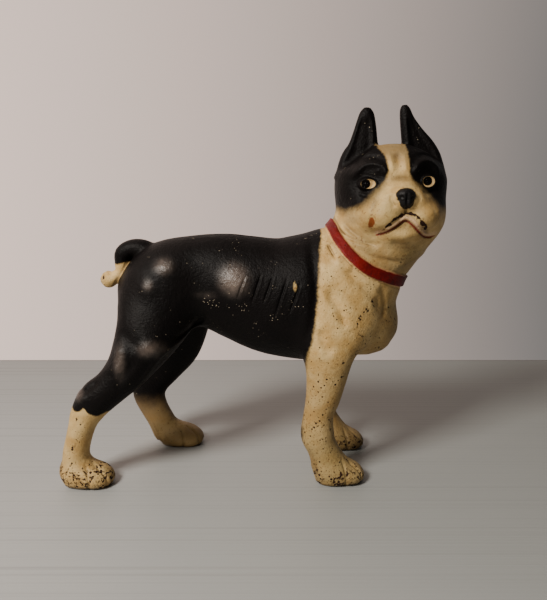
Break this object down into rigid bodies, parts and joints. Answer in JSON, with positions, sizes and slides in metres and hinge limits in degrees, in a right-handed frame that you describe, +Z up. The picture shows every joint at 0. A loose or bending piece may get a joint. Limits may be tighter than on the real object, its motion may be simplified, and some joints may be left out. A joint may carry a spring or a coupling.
{
  "type": "cast iron still bank",
  "caption": "Standing dog figure bank in painted cast iron: two hollow half castings on a lengthwise seam, held by screws, with a coin slot in the back.",
  "frame": {"origin": "middle of the figure's footprint box, on the surface that it stands on; the seam between the halves is the plane y = 0", "axes": "+X towards the breast and the head end, +Y towards the far side that carries the screw heads (the figure's own left), +Z up; the face looks along -Y"},
  "size_m": [0.2642, 0.0944, 0.2552],
  "materials": {
    "paint": "aged gloss enamel over cast iron, black with cream and red areas, chipped to the iron",
    "screw_steel": "dull steel with light rust"
  },
  "bodies": {
    "right_side": {"right_half": "paint"},
    "left_side": {"left_half": "paint"},
    "front_screw": {"front_screw": "screw_steel"},
    "rear_screw": {"rear_screw": "screw_steel"}
  },
  "joints": [
    {"name": "left_half_lift_off", "type": "slide", "parent": "right_side", "child": "left_side", "axis": [0, 1, 0], "range_m": [0, 0.13]},
    {"name": "front_screw_out", "type": "slide", "parent": "left_side", "child": "front_screw", "axis": [0, 1, 0], "range_m": [0, 0.06]},
    {"name": "rear_screw_out", "type": "slide", "parent": "left_side", "child": "rear_screw", "axis": [0, 1, 0], "range_m": [0, 0.06]}
  ]
}
